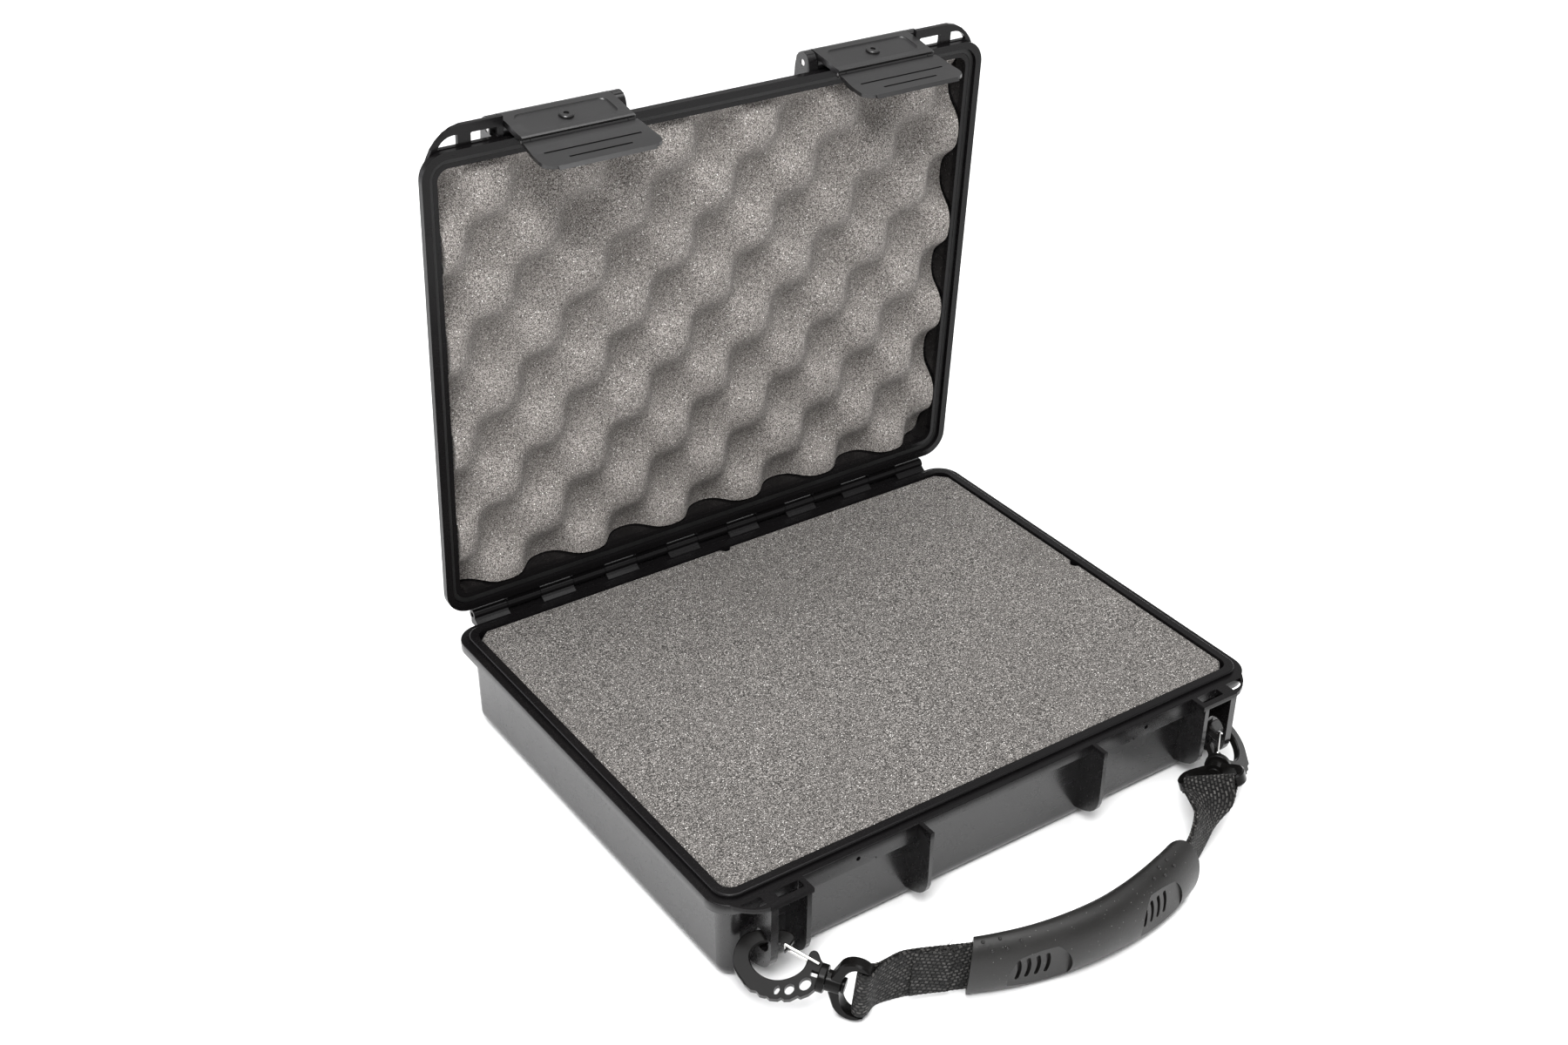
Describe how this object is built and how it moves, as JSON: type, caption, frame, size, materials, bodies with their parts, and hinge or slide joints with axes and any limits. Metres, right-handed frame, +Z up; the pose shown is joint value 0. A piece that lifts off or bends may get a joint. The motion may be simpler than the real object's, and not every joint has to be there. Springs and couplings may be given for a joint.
{
  "type": "laptop hard case",
  "caption": "Hard plastic carrying case for a laptop, hinged lid standing open, over-centre latches, egg-crate and pick-out foam, webbing handle on snap hooks.",
  "frame": {"origin": "centre of the flat underside of the base, which is the surface it stands on", "axes": "+X across the case from the left latch to the right one, +Y from the latch side towards the hinge, +Z up"},
  "size_m": [0.36, 0.3967, 0.361],
  "materials": {
    "case_plastic": "moulded, fine texture",
    "latch_plastic": "smooth satin",
    "hook_plastic": "smooth satin",
    "foam_dark": "open cell foam",
    "foam_light": "open cell foam",
    "gasket": "matt",
    "steel": "plain rod",
    "wire": "bright wire",
    "webbing": "woven",
    "grip_rubber": "matt moulded"
  },
  "bodies": {
    "base": {"base_shell": "case_plastic", "foam_base_pad": "foam_dark", "foam_pluck_block": "foam_dark", "hinge_pin": "steel"},
    "lid": {"lid_shell": "case_plastic", "lid_gasket": "gasket", "lid_foam": "foam_light", "latch_pin_left": "steel", "latch_pin_right": "steel"},
    "handle": {"handle_strap": "webbing", "handle_grip": "grip_rubber", "swivel_eye_left": "hook_plastic", "swivel_eye_right": "hook_plastic"},
    "latch_left": {"latch_plate_left": "latch_plastic", "lever_pin_left": "steel"},
    "lever_left": {"latch_lever_left": "latch_plastic"},
    "hook_left": {"snap_hook_left": "hook_plastic", "swivel_stud_left": "hook_plastic"},
    "gate_left": {"hook_gate_left": "wire"},
    "latch_right": {"latch_plate_right": "latch_plastic", "lever_pin_right": "steel"},
    "lever_right": {"latch_lever_right": "latch_plastic"},
    "hook_right": {"snap_hook_right": "hook_plastic", "swivel_stud_right": "hook_plastic"},
    "gate_right": {"hook_gate_right": "wire"}
  },
  "joints": [
    {"name": "lid_hinge", "type": "hinge", "parent": "base", "child": "lid", "pos_m": [0, 0.148, 0.06], "axis": [1, 0, 0], "range_deg": [-12, 87]},
    {"name": "handle_swing", "type": "hinge", "parent": "base", "child": "handle", "pos_m": [0, -0.1436, 0.03], "axis": [1, 0, 0], "range_deg": [-30, 0]},
    {"name": "latch_swing_left", "type": "hinge", "parent": "lid", "child": "latch_left", "pos_m": [0, 0.14138, 0.35255], "axis": [1, 0, 0], "range_deg": [-100, 6.6]},
    {"name": "lever_flip_left", "type": "hinge", "parent": "latch_left", "child": "lever_left", "pos_m": [0, 0.11658, 0.35181], "axis": [1, 0, 0], "range_deg": [-30, 0]},
    {"name": "hook_swivel_left", "type": "hinge", "parent": "handle", "child": "hook_left", "pos_m": [-0.14257, -0.17491, 0.02171], "axis": [0.5969, -0.7936, -0.1175], "range_deg": [-2, 2]},
    {"name": "gate_spring_left", "type": "hinge", "parent": "hook_left", "child": "gate_left", "pos_m": [-0.14099, -0.16915, 0.02445], "axis": [0.2862, 0.3475, -0.8929], "range_deg": [-6, 0], "stiffness_Nm_per_rad": 0.02, "springref_deg": 17.19},
    {"name": "latch_swing_right", "type": "hinge", "parent": "lid", "child": "latch_right", "pos_m": [0, 0.14138, 0.35255], "axis": [1, 0, 0], "range_deg": [-100, 6.6]},
    {"name": "lever_flip_right", "type": "hinge", "parent": "latch_right", "child": "lever_right", "pos_m": [0, 0.11658, 0.35181], "axis": [1, 0, 0], "range_deg": [-30, 0]},
    {"name": "hook_swivel_right", "type": "hinge", "parent": "handle", "child": "hook_right", "pos_m": [0.13052, -0.16825, 0.02803], "axis": [-0.8247, -0.5446, 0.1526], "range_deg": [-2, 2]},
    {"name": "gate_spring_right", "type": "hinge", "parent": "hook_right", "child": "gate_right", "pos_m": [0.13218, -0.16266, 0.03106], "axis": [0.4766, -0.524, 0.7059], "range_deg": [-6, 0], "stiffness_Nm_per_rad": 0.02, "springref_deg": 17.19}
  ]
}
